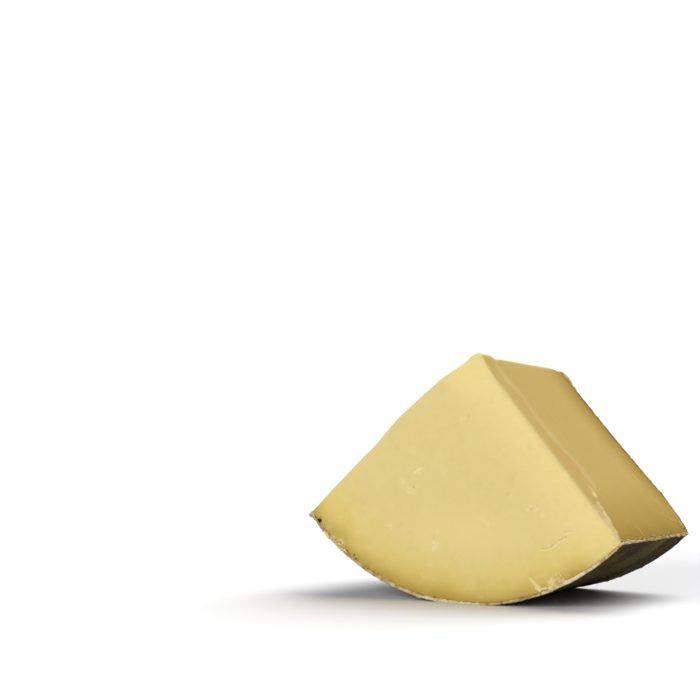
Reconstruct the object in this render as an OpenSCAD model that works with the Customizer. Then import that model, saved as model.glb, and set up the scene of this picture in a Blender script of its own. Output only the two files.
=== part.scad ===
// Wedge of cloth-bound cheddar, a quarter of one end of a tall round wheel, resting on its curved rind.
// Millimetres. +X runs to the right along the front cut face, +Y goes back to the wheel's end face, +Z is up.
// The origin is the middle of the narrow flat the rind rests on, right under the wheel's axis.

/* [Wheel] */
// Radius of the wheel where the front face was cut
front_r = 145; // [120:0.5:180]
// From the front face back to the highest part of the wheel's end face
wedge_depth = 112.5; // [90:0.5:140]
// How much smaller the radius is at the end face's rim than at the front face
rind_taper = 14.5; // [6:0.5:24]
// How far the end face is sunk at the wheel's axis
dish_depth = 9.5; // [2:0.5:14]
// Width of the rounded shoulder between the end face and the rind
shoulder_w = 34; // [16:1:50]
// How far the shoulder falls from the end face to the rim
shoulder_drop = 8; // [3:0.5:16]

/* [Cuts] */
// Angle between the two side cuts
cut_angle = 92.4; // [60:0.2:110]
// How far the left cut bows out between the ridge and the rind
left_bow = 2.7; // [0.5:0.1:6]
// Width of the blunt top left along the ridge
ridge_w = 6.3; // [2:0.1:12]

/* [Rest] */
// How far the wedge has rolled to its right about the wheel's axis
roll_deg = 2.2; // [0:0.1:4]
// Depth of the flat pressed into the rind where it rests
rest_depth = 0.7; // [0.3:0.1:1.2]

/* [View] */
// Piece to show

/* [Hidden] */
$fn = 240;
paste_colour = "#E3CD85";
// Straight steps along the dished end face, and along its shoulder
dish_steps = 8;
shoulder_steps = 8;
rim_r = front_r - rind_taper;
rim_y = wedge_depth - shoulder_drop;
crown_r = rim_r - shoulder_w;
half_cut = cut_angle / 2;
// The rind narrows towards the back, so the wheel's axis dips until the rind's lowest line is level
dip_deg = atan(rind_taper / rim_y);
axis_z = front_r * cos(dip_deg) - rest_depth;
rest_front_y = -axis_z * tan(dip_deg);
rest_back_y = rim_y * cos(dip_deg) - rim_r * sin(dip_deg);
rest_mid_y = (rest_front_y + rest_back_y) / 2;
// The left cut is an arc over the chord from the ridge's left side to the front left corner
chord_top = [-ridge_w, 0];
chord_low = [-front_r * sin(half_cut), -front_r * cos(half_cut)];
chord = norm(chord_low - chord_top);
bow_r = chord * chord / (8 * left_bow) + left_bow / 2;
inward = [chord_top[1] - chord_low[1], chord_low[0] - chord_top[0]] / chord;
bow_centre = (chord_top + chord_low) / 2 + inward * (bow_r - left_bow);

// Points [radius, depth] of the end face: a shallow bowl from the axis out to the crown.
function dish(k) = [
    crown_r * k / dish_steps,
    wedge_depth - dish_depth * (1 - pow(k / dish_steps, 2))
];

// Points [radius, depth] of the shoulder: a quarter of an ellipse from the rim in to the crown.
function shoulder(k) = [
    crown_r + shoulder_w * cos(90 * k / shoulder_steps),
    rim_y + shoulder_drop * sin(90 * k / shoulder_steps)
];

// Half of the wheel's end, cut through its axis: front face, tapered rind, shoulder and dished end face.
module half_section() {
    polygon(concat(
        [[0, 0], [front_r, 0]],
        [for (k = [0:shoulder_steps]) shoulder(k)],
        [for (k = [dish_steps - 1:-1:0]) dish(k)]
    ));
}

// The end of the wheel about its axis along +Y, from the right cut round to level on the left.
module wheel_end() {
    rotate([-90, 0, 0])
        rotate([0, 0, 90 - half_cut])
            rotate_extrude(angle = 90 + half_cut)
                half_section();
}

// What the bowed left cut leaves: a very large cylinder beside the wheel's axis.
module left_cut_side() {
    translate([bow_centre[0], -1, bow_centre[1]])
        rotate([-90, 0, 0])
            cylinder(h = wedge_depth + 2, r = bow_r, $fn = 2 * $fn);
}

// All that lies below the table top.
module under_table() {
    reach = 2 * front_r;
    translate([-reach, -reach, -reach])
        cube([2 * reach, 2 * reach, reach]);
}

module wedge() {
    color(paste_colour)
        difference() {
            translate([0, -rest_mid_y, axis_z])
                rotate([-dip_deg, 0, 0])
                    rotate([0, roll_deg, 0])
                        intersection() {
                            wheel_end();
                            left_cut_side();
                        }
            under_table();
        }
}

wedge();
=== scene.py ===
"""A wedge of cloth-bound cheddar, cut from one end of a tall wheel and lying on its rind.

Sizes are metres. Shapes are worked out in the wheel's own frame and are then rolled, dipped and set down.
In that frame x runs right along the front cut face, y back along the wheel's axis and z up, and the origin
is where the axis meets the front face.
"""
import math

import bmesh
import bpy
import numpy as np
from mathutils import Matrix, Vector


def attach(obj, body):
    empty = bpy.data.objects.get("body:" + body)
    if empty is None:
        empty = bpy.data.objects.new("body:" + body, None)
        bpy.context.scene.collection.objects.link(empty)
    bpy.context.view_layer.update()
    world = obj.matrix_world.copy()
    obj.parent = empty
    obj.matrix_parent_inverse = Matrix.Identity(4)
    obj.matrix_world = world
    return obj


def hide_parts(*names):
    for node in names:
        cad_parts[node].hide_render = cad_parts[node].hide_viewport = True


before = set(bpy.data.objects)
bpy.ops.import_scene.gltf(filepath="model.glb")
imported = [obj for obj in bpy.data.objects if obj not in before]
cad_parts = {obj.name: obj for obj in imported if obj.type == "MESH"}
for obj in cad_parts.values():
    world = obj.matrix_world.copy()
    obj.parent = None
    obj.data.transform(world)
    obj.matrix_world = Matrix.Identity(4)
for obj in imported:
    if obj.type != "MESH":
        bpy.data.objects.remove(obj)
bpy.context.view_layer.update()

MM = 0.001

# The wheel's end, as the solid model has it
FRONT_R = 145 * MM
WEDGE_DEPTH = 112.5 * MM
RIND_TAPER = 14.5 * MM
DISH_DEPTH = 9.5 * MM
SHOULDER_W = 34 * MM
SHOULDER_DROP = 8 * MM
HALF_CUT = math.radians(92.4 / 2)
LEFT_BOW = 2.7 * MM
RIDGE_W = 6.3 * MM
ROLL = math.radians(2.2)
REST_DEPTH = 0.7 * MM
RIM_R = FRONT_R - RIND_TAPER
RIM_Y = WEDGE_DEPTH - SHOULDER_DROP
CROWN_R = RIM_R - SHOULDER_W
AXIS_Y = WEDGE_DEPTH - DISH_DEPTH
DIP = math.atan(RIND_TAPER / RIM_Y)
AXIS_Z = FRONT_R * math.cos(DIP) - REST_DEPTH
PROFILE_RUN = 0.238  # length of the wheel's outside from the front face in to the axis
REST_MID_Y = (RIM_Y * math.cos(DIP) - RIM_R * math.sin(DIP) - AXIS_Z * math.tan(DIP)) / 2

# The left cut is an arc over the chord from the ridge to the front left corner
CHORD_TOP = np.array([-RIDGE_W, 0.0])
CHORD_LOW = np.array([-FRONT_R * math.sin(HALF_CUT), -FRONT_R * math.cos(HALF_CUT)])
CHORD = float(np.hypot(*(CHORD_LOW - CHORD_TOP)))
BOW_R = CHORD**2 / (8 * LEFT_BOW) + LEFT_BOW / 2
BOW_OUT = np.array([CHORD_LOW[1] - CHORD_TOP[1], CHORD_TOP[0] - CHORD_LOW[0]]) / CHORD
BOW_CENTRE = (CHORD_TOP + CHORD_LOW) / 2 - BOW_OUT * (BOW_R - LEFT_BOW)

# Light: the even room, then each of two broad lamps: which way it stands, its strength, how wide it looks
# in degrees
ROOM = 0.12
LIGHTS = [("front", (-0.20, -0.96, 0.20), 2.76, 60), ("back", (0.15, 0.62, 0.77), 3.20, 60)]
TABLE_BOUNCE, TABLE_SEEN = 0.46, 0.94  # what the table throws back, and how pale it looks to the eye
TABLE_BLUE = 1.01  # the table's blue beside its red and green, against the warm light off the cheese
SURROUND_SEEN = 1.05  # how bright the surround looks to the eye
TABLE_REACH = 40.0
CAMERA_PLACE = (1.2672, -2.3546, 0.3034)
CAMERA_LOOK = (-0.50339, 0.86204, -0.05898)
CAMERA_LENS = 232.9  # mm, on a sensor 36 mm wide

# Looks
SKIN = 1.1 * MM  # cloth, lard and mould crust
RIM_BACK = 0.5 * MM  # how far the crust stops short of the cut faces, behind the cloth's ragged edge
EASE = 1.7 * MM  # how far the cheese's cut edges are rounded
EASE_RIGHT = 4.0 * MM  # the same along the front right edge, where the paste has softened


# ---------------------------------------------------------------- small tools


def smooth(low, high, x):
    """0 below low, 1 above high, and 3t^2 - 2t^3 between."""
    t = np.clip((x - low) / (high - low), 0, 1)
    return t * t * (3 - 2 * t)


def bell(x):
    """1 at 0 and dying away on both sides: e to the power of -x^2."""
    return np.exp(-(x**2))


def unit(v):
    """The same directions with length one, along the last axis."""
    return v / np.linalg.norm(v, axis=-1, keepdims=True)


def lumps(points, size, seed):
    """Smooth random field from -1 to 1: random values on a lattice of this cell size, blended by 3t^2 -
    2t^3."""
    table = np.random.default_rng(seed).uniform(-1, 1, (32, 32, 32))
    q = np.asarray(points) / size + 7.3
    cell = np.floor(q).astype(int)
    t = q - cell
    t = t * t * (3 - 2 * t)
    total = np.zeros(len(q))
    for corner in np.ndindex(2, 2, 2):
        weight = np.prod(np.where(corner, t, 1 - t), axis=1)
        at = (cell + corner) % 32
        total += weight * table[at[:, 0], at[:, 1], at[:, 2]]
    return total


def rough(points, size, seed, octaves=3):
    """Sum of lumps, each octave half the size and half the height of the one before."""
    total = sum(lumps(points, size / 2**k, seed + k) / 2**k for k in range(octaves))
    return total / (2 - 2.0 ** (1 - octaves))


def to_row(p):
    """Wheel frame to the row's frame: rolled about the wheel's axis, dipped to the back, then set on the
    table."""
    x, y, z = p[:, 0], p[:, 1], p[:, 2]
    x, z = x * math.cos(ROLL) + z * math.sin(ROLL), z * math.cos(ROLL) - x * math.sin(ROLL)
    y, z = y * math.cos(DIP) + z * math.sin(DIP), z * math.cos(DIP) - y * math.sin(DIP)
    return np.stack([x, y - REST_MID_Y, z + AXIS_Z], axis=1)


def grid_faces(rows, cols, wrap_rows=False, wrap_cols=False):
    """Quads of a rows x cols grid of points, closed round either way if asked."""
    i, j = np.meshgrid(np.arange(rows - (not wrap_rows)), np.arange(cols - (not wrap_cols)), indexing="ij")
    i, j = i.ravel(), j.ravel()
    i2, j2 = (i + 1) % rows, (j + 1) % cols
    return np.stack([i * cols + j, i * cols + j2, i2 * cols + j2, i2 * cols + j], axis=1)


def weld(parts, near=2e-6):
    """One closed mesh from (points, quads) patches: points nearer than this become one."""
    points = np.concatenate([p for p, _ in parts])
    starts = np.cumsum([0] + [len(p) for p, _ in parts[:-1]])
    quads = np.concatenate([q + s for (_, q), s in zip(parts, starts)])
    cell = np.round(points / near).astype(np.int64)
    _, first, back = np.unique(cell, axis=0, return_index=True, return_inverse=True)
    return points[first], back.ravel()[quads]


def new_mesh(name, points, faces):
    """Mesh from point and face arrays, smooth shaded, with its faces turned outward."""
    mesh = bpy.data.meshes.new(name)
    mesh.from_pydata(points.tolist(), [], faces.tolist())
    mesh.validate()
    return outward(mesh)


def outward(mesh):
    """The mesh with slivers gone, its faces turned outward and shaded smooth."""
    bm = bmesh.new()
    bm.from_mesh(mesh)
    bmesh.ops.dissolve_degenerate(bm, dist=1e-7, edges=bm.edges)
    bmesh.ops.recalc_face_normals(bm, faces=bm.faces)
    bm.to_mesh(mesh)
    bm.free()
    mesh.shade_smooth()
    return mesh


def read_points(mesh):
    """The mesh's points as an n x 3 array."""
    co = np.empty(len(mesh.vertices) * 3)
    mesh.vertices.foreach_get("co", co)
    return co.reshape(-1, 3)


def write_points(mesh, points):
    """Puts an n x 3 array back into the mesh."""
    mesh.vertices.foreach_set("co", points.ravel())
    mesh.update()


def keep_values(mesh, name, values):
    """Stores one number per point for the material to read."""
    layer = mesh.attributes.new(name, "FLOAT", "POINT")
    layer.data.foreach_set("value", np.asarray(values, np.float32))


def add_piece(name, mesh, material):
    """A piece of the wedge that rides on the part's one body."""
    piece = bpy.data.objects.new(name, mesh)
    bpy.context.scene.collection.objects.link(piece)
    mesh.materials.append(material)
    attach(piece, "root")
    return piece


# ---------------------------------------------------------------- the wedge's form in the wheel frame


def outer_profile(q, skin=0.0):
    """Radius and depth along the wheel's outside, q from 0 to 3: the straight tapered rind for 0 to 1, a
    quarter ellipse over the shoulder for 1 to 2, and the parabolic dish in to the axis for 2 to 3; skin
    moves it inward."""
    q = np.asarray(q, float)
    a, b, c = np.clip(q, 0, 1), np.clip(q - 1, 0, 1) * math.pi / 2, np.clip(q - 2, 0, 1)
    rind = np.stack([FRONT_R - skin - RIND_TAPER * a, RIM_Y * a], -1)
    shoulder_r = CROWN_R + (SHOULDER_W - skin) * np.cos(b)
    turn = np.stack([shoulder_r, RIM_Y + (SHOULDER_DROP - skin) * np.sin(b)], -1)
    dish = np.stack([CROWN_R * (1 - c), WEDGE_DEPTH - skin - DISH_DEPTH * (1 - (1 - c) ** 2)], -1)
    return np.where((q <= 1)[..., None], rind, np.where((q <= 2)[..., None], turn, dish))


def even_steps(low, high, count, skin=0.0):
    """Values of q from low to high whose points on the outside are evenly spaced."""
    q = np.linspace(low, high, 2001)
    rz = outer_profile(q, skin)
    run = np.concatenate([[0], np.cumsum(np.hypot(*np.diff(rz, axis=0).T))])
    return np.interp(np.linspace(0, run[-1], count), run, q)


def fan(s, r, y):
    """Point of the wedge at s across it (0 on the left cut, 1 on the right), radius r and depth y: straight
    lines fanned from the blunt ridge to the rind's arc, bowed out on the left, then drawn to the true
    radius."""
    s, r, y = np.broadcast_arrays(s, r, y)
    rho = r / FRONT_R
    angle = (2 * s - 1) * HALF_CUT
    bow = 4 * LEFT_BOW * rho * (1 - rho) * (1 - s)
    x = -(1 - rho) * RIDGE_W * (1 - s) + r * np.sin(angle) + BOW_OUT[0] * bow
    z = -r * np.cos(angle) + BOW_OUT[1] * bow
    true = np.hypot(x, z) + 1e-9
    pull = 1 + (r / true - 1) * smooth(10 * MM, 40 * MM, r)
    return np.stack([x * pull, y, z * pull], -1).reshape(-1, 3)


def side_grid(rho, t, skin):
    """Radius and depth over a side cut: a Coons patch between the front edge, the ridge, the rind with the
    outer half of the shoulder, and the end face with its inner half."""
    mid = 1.5
    right = outer_profile(np.interp(t, np.linspace(0, 1, len(t)), even_steps(0, mid, len(t), skin)), skin)
    top = outer_profile(even_steps(3, mid, len(rho), skin), skin)
    low = np.stack([rho * (FRONT_R - skin), 0 * rho], -1)
    left = np.stack([0 * t, t * (AXIS_Y - skin)], -1)
    u, v = rho[:, None, None], t[None, :, None]
    c00, c10, c01, c11 = low[0], low[-1], top[0], top[-1]
    corners = (1 - u) * (1 - v) * c00 + u * (1 - v) * c10 + (1 - u) * v * c01 + u * v * c11
    return (1 - v) * low[:, None] + v * top[:, None] + (1 - u) * left[None] + u * right[None] - corners


def distances(p):
    """Distance outside each face of the cut (front, right, left, top) and that face's outward direction."""
    x, y, z = p.T
    lx, lz = x - BOW_CENTRE[0], z - BOW_CENTRE[1]
    reach = np.hypot(lx, lz)
    one, nil = np.ones_like(x), np.zeros_like(x)
    d = np.stack([-y, x * math.cos(HALF_CUT) + z * math.sin(HALF_CUT), reach - BOW_R, z], -1)
    n = np.stack(
        [
            np.stack([nil, -one, nil], -1),
            np.stack([one * math.cos(HALF_CUT), nil, one * math.sin(HALF_CUT)], -1),
            np.stack([lx / reach, nil, lz / reach], -1),
            np.stack([nil, nil, one], -1),
        ],
        1,
    )
    return d, n


def eased(p):
    """Rounds the cut edges: points near two faces move in until the root of the summed squares of their
    distances to planes one rounding inside the faces is that rounding, which grows from EASE to EASE_RIGHT
    near the front right edge. Also returns each face's share in the surface and the outward direction."""
    d, _ = distances(p)
    by_front = smooth(-15 * MM, -7 * MM, d[:, 0])
    by_right = by_front * smooth(-15 * MM, -7 * MM, d[:, 1]) * smooth(-6 * MM, -14 * MM, d[:, 3])
    ease = EASE + (EASE_RIGHT - EASE) * by_right
    for _ in range(4):
        d, n = distances(p)
        inside = np.maximum(d + ease[:, None], 0)
        length = np.sqrt((inside**2).sum(-1))
        share = inside / np.maximum(length, 1e-9)[:, None]
        out = (share[..., None] * n).sum(1)
        near = length > 1e-6
        p = p - out * ((length - ease) * near)[:, None] / np.maximum((out**2).sum(-1), 0.5)[:, None]
    return p, share, out / np.maximum(np.linalg.norm(out, axis=1), 1e-9)[:, None]


# ---------------------------------------------------------------- marks on the cut faces, in millimetres

# Cracks on the front face: the points they run through (x, z), half width, depth
FRONT_CRACKS = [
    ([(-37.8, -70.9), (-35.0, -68.8), (-33.0, -67.4), (-30.4, -65.9)], 0.34, 0.6),
    ([(51.4, -107.6), (54.4, -107.4), (57.6, -106.5), (60.6, -104.4), (63.6, -101.8), (68.2, -99.0)],
     0.30, 0.5),
    ([(65.0, -96.9), (67.6, -96.6), (71.2, -95.7)], 0.30, 0.4),
    ([(39.6, -84.2), (43.3, -85.8)], 0.30, 0.3),
]
# Small pits on the front face: x, z, radius, depth
FRONT_PITS = [
    (-35.8, -79.3, 0.8, 0.7), (-50.9, -104.8, 0.9, 0.4), (-18.2, -112.0, 0.8, 0.5),
    (-12.2, -37.2, 0.9, 0.35), (-3.1, -35.4, 0.8, 0.35), (27.3, -78.1, 0.6, 0.5), (36.5, -55.7, 0.8, 0.3),
    (43.3, -85.5, 0.7, 0.5), (-98.8, -104.5, 0.75, 2.8), (-98.0, -104.4, 0.85, 3.0),
    (-97.1, -104.4, 0.8, 2.8), (-76.4, -120.7, 0.6, 1.1), (-95.8, -108.8, 0.5, 1.0),
    (-94.6, -110.2, 0.4, 0.8), (-81.4, -118.4, 0.4, 0.7),
]
# Raised pale crumbly spots on the front face: x, z, radius, height
FRONT_BLOBS = [
    (-42.6, -76.8, 1.6, 0.30), (-38.0, -82.0, 1.9, 0.35), (-33.4, -71.2, 1.3, 0.35),
    (51.0, -88.0, 1.3, 0.40), (70.3, -92.4, 1.8, 0.35), (46.6, -85.9, 1.2, 0.34),
    (-49.0, -104.0, 1.5, 0.34), (-17.6, -112.4, 2.3, 0.45), (-7.0, -37.0, 1.6, 0.24),
    (-17.0, -103.8, 1.2, 0.30), (66.0, -124.4, 2.2, 0.60), (61.6, -126.8, 1.6, 0.50),
    (-81.6, -116.2, 1.8, 0.45), (-86.4, -113.0, 1.4, 0.40), (33.6, -56.8, 1.7, 0.20),
    (16.0, -96.2, 1.3, 0.18), (6.2, -14.6, 1.6, 0.30), (41.8, -83.8, 1.0, 0.30),
]


def near_path(x, z, path):
    """Distance from each point to a line through the given points, and how far along it the nearest spot
    is."""
    best, along, run = np.full(len(x), 1e9), np.zeros(len(x)), 0.0
    for (x0, z0), (x1, z1) in zip(path[:-1], path[1:]):
        dx, dz = x1 - x0, z1 - z0
        length = math.hypot(dx, dz)
        t = np.clip(((x - x0) * dx + (z - z0) * dz) / length**2, 0, 1)
        far = np.hypot(x - x0 - t * dx, z - z0 - t * dz)
        closer = far < best
        best, along = np.where(closer, far, best), np.where(closer, run + t * length, along)
        run += length
    return best, along, run


STRIP_SINK = 0.5  # mm the strip sinks in front of the soft ridge


def strip_line(r):
    """Depth, in mm, of the soft ridge that the second pull of the wire left on the right cut, at radius r
    in mm: it drifts back from the front edge as it goes down the cut."""
    return 12.6 + 0.06 * r + 4.2 * smooth(58, 82, r)


def front_height(p):
    """Height of the front face in mm: slow waves, a fine grain, cracks cut along broken lines with a raised
    lip below, round pits and low crumbly blobs. Also how pale, how darkened and how orange each spot is:
    the lips are paler as a painted highlight, the cracks and pits darker as painted shade."""
    x, z = p[:, 0] / MM, p[:, 2] / MM
    flat = np.stack([x, 0 * x, z], -1)
    height = 0.16 * lumps(flat, 38, 3) + 0.05 * rough(flat, 7, 5) + 0.012 * lumps(flat, 1.3, 6)
    pale, darkening = 0 * x, 0 * x
    wobble = 0.35 * lumps(flat, 2.2, 8)
    for path, half, depth in FRONT_CRACKS:
        far, along, run = near_path(x + wobble, z + 0.3 * lumps(flat, 1.7, 9), path)
        ends = smooth(0, 1.2, along) * smooth(0, 1.2, run - along) * 0.7 + 0.3
        broken = 0.3 + 0.7 * smooth(-0.35, 0.25, lumps(flat, 1.7, 11))
        height -= 0.7 * depth * ends * broken * bell(far / (1.35 * half))
        lip_far, _, _ = near_path(x + wobble, z + 1.1, path)
        lip = bell(lip_far / 0.8) * ends
        height += 0.10 * lip
        # the lip's paler colour is a painted highlight
        pale += 0.75 * lip
        # painted shade along each crack
        darkening += 0.42 * ends * broken * bell(far / (1.7 * half))
    for px, pz, radius, depth in FRONT_PITS:
        far = np.hypot(x - px + wobble, z - pz)
        hollow = bell(far / radius)
        height -= depth * hollow
        # painted shade in each pit, darker the deeper the pit
        darkening += min(1.0, depth / 2.2) * hollow
    for px, pz, radius, rise in FRONT_BLOBS:
        far = np.hypot(x - px + 3 * wobble, z - pz + 1.2 * lumps(flat, 2.4, 12)) / 1.6
        lump = bell(far / radius) * np.clip(0.8 + 0.7 * lumps(flat, 1.5, 13), 0, 1.5)
        height += 0.7 * rise * lump
        pale += (0.45 + 0.9 * rise) * lump
    orange = 0.9 * np.exp(-(((x - 65.5) / 3.2) ** 2) - ((z + 124.6) / 2.4) ** 2)
    orange += 0.7 * np.exp(-(((x + 97.5) / 4.5) ** 2) - ((z + 106.5) / 3.5) ** 2)
    return height, pale, darkening, orange * np.clip(0.8 + 0.9 * lumps(flat, 1.6, 14), 0, 1.4)


def wire_marks(r, y, seed):
    """Height of a wire-cut face in mm: fine drag lines that run out along the radius, slow waves and a fine
    grain."""
    lines = np.stack([r / 26, y, 0 * r], -1)
    flat = np.stack([r, y, 0 * r], -1)
    drag = 0.045 * lumps(lines, 1.1, seed) + 0.06 * lumps(lines, 3.1, seed + 1)
    height = drag + 0.14 * lumps(flat, 34, seed + 2) + 0.04 * rough(flat, 6, seed + 3)
    return height + 0.01 * lumps(flat, 1.2, seed + 4)


def right_height(p):
    """Height of the right cut in mm: wire marks, streaks, a crumbly front low corner, and a strip behind
    the front edge that sinks away slowly and comes back up in a soft ridge, which fades out low on the cut.
    Also how pale, how darkened and how orange each spot is; the paleness along the soft ridge is a painted
    highlight, and just behind the front edge it is painted light."""
    r, y = np.hypot(p[:, 0], p[:, 2]) / MM, p[:, 1] / MM
    flat = np.stack([r, y, 0 * r], -1)
    line = strip_line(r) + 0.6 * lumps(flat, 14, 31)
    ahead = y - line
    low = smooth(106, 92, r)
    sink = smooth(0, 1, (y - 1) / np.maximum(line - 3.5, 1)) * smooth(4.0, -6.0, ahead)
    height = wire_marks(r, y, 41) - STRIP_SINK * sink * low + 0.10 * low * bell((ahead - 1.2) / 3.2)
    # painted highlight along the soft ridge
    pale = 0.35 * bell(ahead / 4.6) * (0.85 + 0.5 * lumps(flat, 7, 33)) * low
    trough = smooth(2, 6, y) * smooth(-0.5, -4.5, ahead) * smooth(112, 98, r)
    orange = trough * (0.10 + 0.34 * bell((r - 80) / 17) + 0.15 * lumps(flat, 6, 34))
    # a faint darker band in the sunken strip
    darkening = trough * (0.05 + 0.06 * lumps(flat, 8, 38))
    crumbly = np.clip(0.85 + 0.7 * lumps(flat, 1.6, 37), 0.1, 1.5)
    for r0, y0, r1, y1, half, lift in RIGHT_STREAKS:
        wander = 0.3 + 0.5 * smooth(0.8, 1.6, half)
        far, along, run = near_path(r + wander * lumps(flat, 3, 35), y + wander * lumps(flat, 2.4, 36),
            [(r0, y0), (r1, y1)])
        line_up = bell(far / half) * smooth(0, 2, along) * smooth(0, 2, run - along)
        line_up = line_up * (1 + (crumbly - 1) * smooth(0.8, 1.6, half))
        height += lift * line_up
        pale += 1.3 * abs(lift) * line_up
    edge = 12 - 0.35 * (r - 115) + 1.2 * lumps(flat, 4, 39)
    corner = smooth(108, 120, r) * smooth(edge + 1.5, edge - 2.5, y)
    height += 0.12 * corner * crumbly
    # paler within 8 mm of the front edge as painted light; the crumbly low corner is paler in its own colour
    pale += 0.22 * smooth(8, 0, y) + (0.28 + 0.3 * smooth(122, 131, r)) * corner * (0.6 + 0.4 * crumbly)
    return height, pale, np.maximum(darkening, 0), orange


# Pale streaks on the right cut, where the wire dragged a crumb: radius and depth of each end, half width,
# height
RIGHT_STREAKS = [
    (79.0, 89.6, 93.0, 91.6, 1.0, 0.40), (107.0, 104.5, 127.0, 106.6, 0.6, 0.4),
    (112.0, 36.6, 139.0, 38.6, 0.6, 0.20), (60.0, 52.0, 104.0, 55.0, 0.5, 0.14),
    (92.0, 66.5, 128.0, 68.0, 0.5, 0.12), (30.0, 34.0, 76.0, 37.5, 0.5, 0.12),
    (95.0, 90.2, 110.0, 95.7, 1.1, 0.22), (113.5, 88.6, 119.4, 92.8, 0.9, 0.26),
    (118.8, 92.4, 120.6, 104.0, 0.9, 0.26), (98.0, 14.6, 110.0, 11.0, 2.9, 0.38),
    (104.0, 12.0, 114.5, 9.8, 2.2, 0.30), (112.0, 8.6, 129.0, 5.4, 2.4, 0.34),
    (97.0, 22.0, 110.0, 19.0, 0.6, 0.30), (120.0, 56.0, 136.0, 57.5, 0.5, 0.14),
    (122.0, 30.0, 134.0, 39.0, 0.7, 0.24),
]


def left_height(p):
    """Height of the left cut in mm: wire marks only, nowhere pale, darkened or orange."""
    r, y = np.hypot(p[:, 0], p[:, 2]) / MM, p[:, 1] / MM
    return wire_marks(r, y, 61), 0 * r, 0 * r, 0 * r


def left_swell(p):
    """Shift of the paste out to the left: a low swelling of the left cut's upper front half, dying out
    within."""
    d, n = distances(p)
    r, y = np.hypot(p[:, 0], p[:, 2]) / MM, p[:, 1] / MM
    swell = 2.2 * smooth(6, 32, r) * smooth(90, 62, r) * smooth(80, 15, y) * smooth(-50, 0, d[:, 2] / MM)
    return n[:, 2] * swell[:, None] * MM


def ridge_lift(p):
    """How far, in mm, the ridge stands above its straight line: a blunt tip at the front, a dip behind it,
    and a low swell along the rest."""
    x, y, z = p.T / MM
    tip = 2.5 * bell((x + 1.5) / 5.5) * smooth(-15, -4, z) * smooth(20, 11, y)
    rest = 1.1 * smooth(14, 26, y) * smooth(103, 90, y) * smooth(-30, -2, z)
    return tip + rest


def wanted_size(p):
    """Longest edge to leave at a point of the cheese: large under the rind, small at cut edges, smallest at
    marks."""
    d, _ = distances(p)
    x, z, r, y = p[:, 0] / MM, p[:, 2] / MM, np.hypot(p[:, 0], p[:, 2]) / MM, p[:, 1] / MM
    on = d > -0.4 * MM
    size = np.where(on.any(1), 2.3, 9.0)
    order = np.sort(d, axis=1)
    size = np.where(order[:, -2] > -3.0 * MM, 1.1, size)
    size = np.where((order[:, -2] > -2.0 * MM) & (d[:, 0] > -2.5 * MM) & (d[:, 1] > -2.5 * MM), 0.75, size)
    front, right = on[:, 0], on[:, 1]
    size = np.where(right & (np.abs(strip_line(r) - y) < 5), 1.1, size)
    size = np.where((order[:, -2] > -6 * MM) & (d[:, 0] > -6 * MM) & (d[:, 1] > -6 * MM),
        np.minimum(size, 0.9), size)
    for path, half, _ in FRONT_CRACKS:
        far, _, _ = near_path(x, z, path)
        size = np.where(front & (far < 2.4), 0.34, size)
    for px, pz, radius, _ in FRONT_PITS + FRONT_BLOBS:
        far = np.hypot(x - px, z - pz)
        size = np.where(front & (far < 1.9 * radius), np.minimum(size, 0.3 if px < -90 else 0.6), size)
    for r0, y0, r1, y1, half, _ in RIGHT_STREAKS:
        far, _, _ = near_path(r, y, [(r0, y0), (r1, y1)])
        size = np.where(right & (far < 2.4 * half), np.minimum(size, 0.6), size)
    return size * MM


def split_long_edges(mesh, passes):
    """Halves each edge longer than wanted_size at its middle, and again, with the faces kept triangles."""
    for _ in range(passes):
        co = read_points(mesh)
        ends = np.empty(len(mesh.edges) * 2, np.int32)
        mesh.edges.foreach_get("vertices", ends)
        a, b = co[ends[::2]], co[ends[1::2]]
        long = np.flatnonzero(np.linalg.norm(a - b, axis=1) > wanted_size((a + b) / 2) * 1.25)
        if not len(long):
            break
        bm = bmesh.new()
        bm.from_mesh(mesh)
        bm.edges.ensure_lookup_table()
        bmesh.ops.subdivide_edges(bm, edges=[bm.edges[i] for i in long], cuts=1)
        bmesh.ops.triangulate(bm, faces=[f for f in bm.faces if len(f.verts) > 3])
        bm.verts.index_update()
        bm.faces.ensure_lookup_table()
        corners = np.sort([[v.index for v in f.verts] for f in bm.faces], axis=1)
        _, same, count = np.unique(corners, axis=0, return_inverse=True, return_counts=True)
        twins = np.flatnonzero(count[same.ravel()] > 1)  # flat triangles lying back to back
        bmesh.ops.delete(bm, geom=[bm.faces[i] for i in twins], context="FACES")
        bm.to_mesh(mesh)
        bm.free()


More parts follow.
